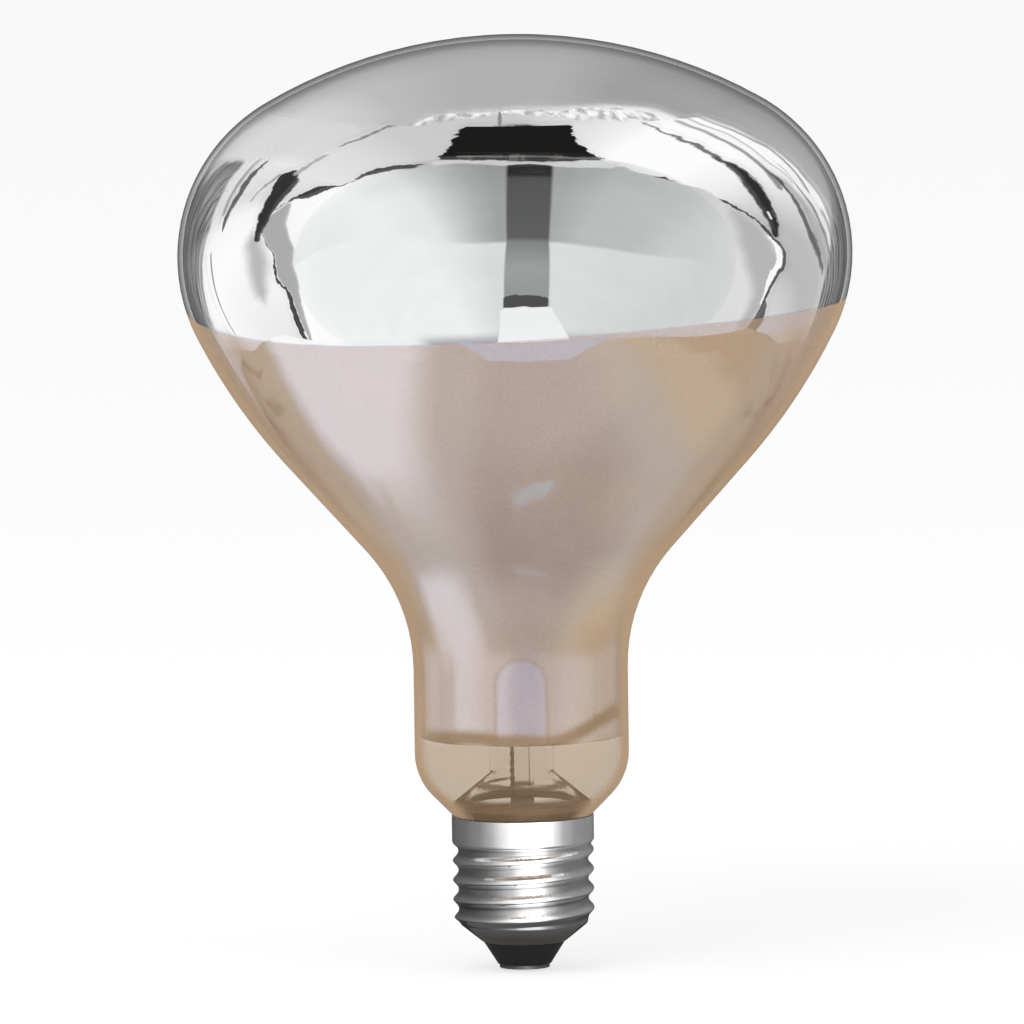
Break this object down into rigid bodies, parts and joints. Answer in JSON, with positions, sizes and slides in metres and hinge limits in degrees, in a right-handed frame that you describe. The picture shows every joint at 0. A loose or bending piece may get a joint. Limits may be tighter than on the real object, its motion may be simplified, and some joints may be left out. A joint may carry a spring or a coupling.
{
  "type": "infrared reflector heat lamp with screw cap",
  "caption": "Blown reflector bulb with a clear crown, a mirrored inside and a champagne lacquered bell, on a rolled screw cap; carries a coiled filament on a glass stem",
  "frame": {"origin": "on the lamp's axis, at the tip of the solder on the centre contact", "axes": "+Z runs along the lamp's axis from the cap to the crown, and the product picture looks along +Y with +X to its right"},
  "size_m": [0.125, 0.125, 0.174],
  "materials": {
    "bulb_glass": "clear over the crown, satin champagne lacquer below the widest line, faint amber at the foot",
    "mirror_film": "vacuum-deposited aluminium behind glass",
    "cap_metal": "rolled sheet with a satin sheen",
    "black_glass": "opaque black moulded glass",
    "contact_metal": "tinned sheet",
    "solder": "dull solder",
    "cement": "brown capping cement",
    "stem_glass": "clear tube glass",
    "copper_wire": "tarnished copper-clad wire",
    "nickel": "drawn nickel wire",
    "tungsten": "coiled tungsten",
    "molybdenum": "drawn wire"
  },
  "bodies": {
    "root": {"bulb_envelope": "bulb_glass", "reflector_film": "mirror_film", "cap_shell": "cap_metal", "cap_insulator": "black_glass", "centre_contact": "contact_metal", "contact_solder": "solder", "rim_solder": "solder", "capping_cement": "cement", "stem_tube": "stem_glass", "exhaust_tube": "stem_glass", "support_arbor": "stem_glass", "seal_wire_1": "copper_wire", "seal_wire_2": "copper_wire", "inner_lead_1": "nickel", "inner_lead_2": "nickel", "centre_lead": "copper_wire", "rim_lead": "copper_wire", "filament": "tungsten", "filament_clamp_1": "nickel", "filament_clamp_2": "nickel", "support_wire_1": "molybdenum", "support_wire_2": "molybdenum", "support_wire_3": "molybdenum", "support_wire_4": "molybdenum", "support_wire_5": "molybdenum"}
  },
  "joints": []
}
